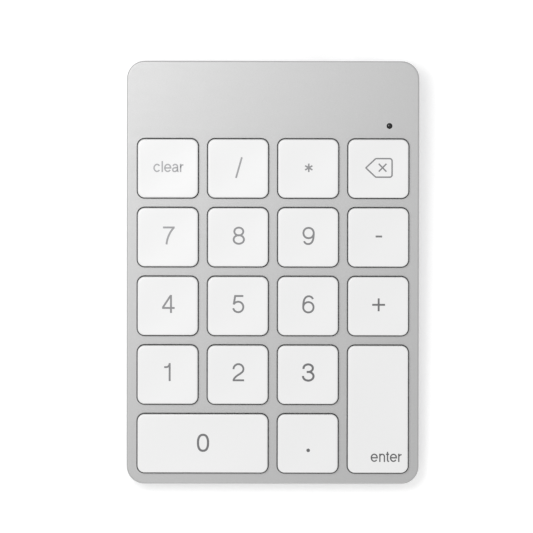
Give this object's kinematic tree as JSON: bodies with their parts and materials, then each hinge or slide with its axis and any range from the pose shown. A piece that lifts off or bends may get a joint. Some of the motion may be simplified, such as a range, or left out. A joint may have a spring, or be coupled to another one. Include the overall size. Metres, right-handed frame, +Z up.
{
  "type": "numeric keypad",
  "caption": "Slim wireless numeric keypad: sloping aluminium deck with low scissor keys, plastic wedge base on rubber feet, and a charging socket and power switch at the rear.",
  "frame": {"origin": "centre of the bounding box's underside, where the feet stand", "axes": "+Z up; +Y to the rear, away from the user; +X to the user's right"},
  "size_m": [0.0794, 0.115, 0.0108],
  "materials": {
    "anodised_aluminium": "fine blasted anodised satin",
    "keycap_plastic": "smooth satin white",
    "cover_plastic": "satin white",
    "scissor_plastic": "moulded acetal",
    "spring_wire": "bright drawn",
    "plate_steel": "rolled",
    "membrane_film": "printed film",
    "silicone": "translucent matte",
    "screw_steel": "zinc plated",
    "board_laminate": "solder mask",
    "dark_resin": "moulded",
    "connector_plastic": "moulded",
    "socket_steel": "nickel plated",
    "knob_plastic": "satin dark grey",
    "led_lens": "clear resin",
    "clear_acrylic": "polished",
    "pouch_foil": "soft foil",
    "lead_insulation": "smooth",
    "foot_rubber": "matte grey"
  },
  "bodies": {
    "case": {"scissor_clear": "scissor_plastic", "scissor_divide": "scissor_plastic", "scissor_multiply": "scissor_plastic", "scissor_backspace": "scissor_plastic", "scissor_7": "scissor_plastic", "scissor_8": "scissor_plastic", "scissor_9": "scissor_plastic", "scissor_minus": "scissor_plastic", "scissor_4": "scissor_plastic", "scissor_5": "scissor_plastic", "scissor_6": "scissor_plastic", "scissor_plus": "scissor_plastic", "scissor_1": "scissor_plastic", "scissor_2": "scissor_plastic", "scissor_3": "scissor_plastic", "scissor_enter": "scissor_plastic", "scissor_0": "scissor_plastic", "scissor_decimal": "scissor_plastic", "top_case": "anodised_aluminium", "bottom_cover": "cover_plastic", "key_plate": "plate_steel", "membrane_circuit": "membrane_film", "rubber_domes": "silicone", "case_screws": "screw_steel", "internal_screws": "screw_steel", "main_board": "board_laminate", "board_chips": "dark_resin", "membrane_connector": "connector_plastic", "charging_socket_shell": "socket_steel", "charging_socket_tongue": "dark_resin", "power_switch_body": "dark_resin", "pairing_switch": "dark_resin", "status_led": "led_lens", "led_light_pipe": "clear_acrylic", "battery_cell": "pouch_foil", "battery_leads": "lead_insulation", "battery_connector": "connector_plastic", "rubber_feet": "foot_rubber"},
    "key_clear": {"keycap_clear": "keycap_plastic"},
    "key_divide": {"keycap_divide": "keycap_plastic"},
    "key_multiply": {"keycap_multiply": "keycap_plastic"},
    "key_backspace": {"keycap_backspace": "keycap_plastic"},
    "key_7": {"keycap_7": "keycap_plastic"},
    "key_8": {"keycap_8": "keycap_plastic"},
    "key_9": {"keycap_9": "keycap_plastic"},
    "key_minus": {"keycap_minus": "keycap_plastic"},
    "key_4": {"keycap_4": "keycap_plastic"},
    "key_5": {"keycap_5": "keycap_plastic"},
    "key_6": {"keycap_6": "keycap_plastic"},
    "key_plus": {"keycap_plus": "keycap_plastic"},
    "key_1": {"keycap_1": "keycap_plastic"},
    "key_2": {"keycap_2": "keycap_plastic"},
    "key_3": {"keycap_3": "keycap_plastic"},
    "key_enter": {"keycap_enter": "keycap_plastic"},
    "key_0": {"keycap_0": "keycap_plastic"},
    "key_decimal": {"keycap_decimal": "keycap_plastic"},
    "wire_enter": {"stabiliser_wire_enter": "spring_wire"},
    "wire_0": {"stabiliser_wire_0": "spring_wire"},
    "power_switch": {"power_switch_knob": "knob_plastic"},
    "pairing": {"pairing_button": "knob_plastic"}
  },
  "joints": [
    {"name": "press_clear", "type": "slide", "parent": "case", "child": "key_clear", "axis": [0, 0.0384, -0.9993], "range_m": [0, 0.0015], "stiffness_N_per_m": 250, "springref_m": -0.001, "deforming": ["scissor_clear", "rubber_domes"]},
    {"name": "press_divide", "type": "slide", "parent": "case", "child": "key_divide", "axis": [0, 0.0384, -0.9993], "range_m": [0, 0.0015], "stiffness_N_per_m": 250, "springref_m": -0.001, "deforming": ["scissor_divide", "rubber_domes"]},
    {"name": "press_multiply", "type": "slide", "parent": "case", "child": "key_multiply", "axis": [0, 0.0384, -0.9993], "range_m": [0, 0.0015], "stiffness_N_per_m": 250, "springref_m": -0.001, "deforming": ["scissor_multiply", "rubber_domes"]},
    {"name": "press_backspace", "type": "slide", "parent": "case", "child": "key_backspace", "axis": [0, 0.0384, -0.9993], "range_m": [0, 0.0015], "stiffness_N_per_m": 250, "springref_m": -0.001, "deforming": ["scissor_backspace", "rubber_domes"]},
    {"name": "press_7", "type": "slide", "parent": "case", "child": "key_7", "axis": [0, 0.0384, -0.9993], "range_m": [0, 0.0015], "stiffness_N_per_m": 250, "springref_m": -0.001, "deforming": ["scissor_7", "rubber_domes"]},
    {"name": "press_8", "type": "slide", "parent": "case", "child": "key_8", "axis": [0, 0.0384, -0.9993], "range_m": [0, 0.0015], "stiffness_N_per_m": 250, "springref_m": -0.001, "deforming": ["scissor_8", "rubber_domes"]},
    {"name": "press_9", "type": "slide", "parent": "case", "child": "key_9", "axis": [0, 0.0384, -0.9993], "range_m": [0, 0.0015], "stiffness_N_per_m": 250, "springref_m": -0.001, "deforming": ["scissor_9", "rubber_domes"]},
    {"name": "press_minus", "type": "slide", "parent": "case", "child": "key_minus", "axis": [0, 0.0384, -0.9993], "range_m": [0, 0.0015], "stiffness_N_per_m": 250, "springref_m": -0.001, "deforming": ["scissor_minus", "rubber_domes"]},
    {"name": "press_4", "type": "slide", "parent": "case", "child": "key_4", "axis": [0, 0.0384, -0.9993], "range_m": [0, 0.0015], "stiffness_N_per_m": 250, "springref_m": -0.001, "deforming": ["scissor_4", "rubber_domes"]},
    {"name": "press_5", "type": "slide", "parent": "case", "child": "key_5", "axis": [0, 0.0384, -0.9993], "range_m": [0, 0.0015], "stiffness_N_per_m": 250, "springref_m": -0.001, "deforming": ["scissor_5", "rubber_domes"]},
    {"name": "press_6", "type": "slide", "parent": "case", "child": "key_6", "axis": [0, 0.0384, -0.9993], "range_m": [0, 0.0015], "stiffness_N_per_m": 250, "springref_m": -0.001, "deforming": ["scissor_6", "rubber_domes"]},
    {"name": "press_plus", "type": "slide", "parent": "case", "child": "key_plus", "axis": [0, 0.0384, -0.9993], "range_m": [0, 0.0015], "stiffness_N_per_m": 250, "springref_m": -0.001, "deforming": ["scissor_plus", "rubber_domes"]},
    {"name": "press_1", "type": "slide", "parent": "case", "child": "key_1", "axis": [0, 0.0384, -0.9993], "range_m": [0, 0.0015], "stiffness_N_per_m": 250, "springref_m": -0.001, "deforming": ["scissor_1", "rubber_domes"]},
    {"name": "press_2", "type": "slide", "parent": "case", "child": "key_2", "axis": [0, 0.0384, -0.9993], "range_m": [0, 0.0015], "stiffness_N_per_m": 250, "springref_m": -0.001, "deforming": ["scissor_2", "rubber_domes"]},
    {"name": "press_3", "type": "slide", "parent": "case", "child": "key_3", "axis": [0, 0.0384, -0.9993], "range_m": [0, 0.0015], "stiffness_N_per_m": 250, "springref_m": -0.001, "deforming": ["scissor_3", "rubber_domes"]},
    {"name": "press_enter", "type": "slide", "parent": "case", "child": "key_enter", "axis": [0, 0.0384, -0.9993], "range_m": [0, 0.0015], "stiffness_N_per_m": 250, "springref_m": -0.001, "deforming": ["scissor_enter", "rubber_domes"]},
    {"name": "press_0", "type": "slide", "parent": "case", "child": "key_0", "axis": [0, 0.0384, -0.9993], "range_m": [0, 0.0015], "stiffness_N_per_m": 250, "springref_m": -0.001, "deforming": ["scissor_0", "rubber_domes"]},
    {"name": "press_decimal", "type": "slide", "parent": "case", "child": "key_decimal", "axis": [0, 0.0384, -0.9993], "range_m": [0, 0.0015], "stiffness_N_per_m": 250, "springref_m": -0.001, "deforming": ["scissor_decimal", "rubber_domes"]},
    {"name": "wire_enter_tilt", "type": "hinge", "parent": "case", "child": "wire_enter", "pos_m": [0.03216, -0.03705, 0.00434], "axis": [0, -0.9993, -0.0384], "range_deg": [0, 8.69]},
    {"name": "wire_0_tilt", "type": "hinge", "parent": "case", "child": "wire_0", "pos_m": [-0.01905, -0.04997, 0.00384], "axis": [-1, 0, 0], "range_deg": [0, 8.69]},
    {"name": "power_slide", "type": "slide", "parent": "case", "child": "power_switch", "axis": [1, 0, 0], "range_m": [0, 0.002]},
    {"name": "pairing_press", "type": "slide", "parent": "case", "child": "pairing", "axis": [0, -0.0384, 0.9993], "range_m": [0, 0.00025], "stiffness_N_per_m": 1500, "springref_m": -0.0004}
  ],
  "couplings": [
    {"joint": "wire_enter_tilt", "follows": "press_enter", "rad_per_m": 100.96},
    {"joint": "wire_0_tilt", "follows": "press_0", "rad_per_m": 100.96}
  ]
}
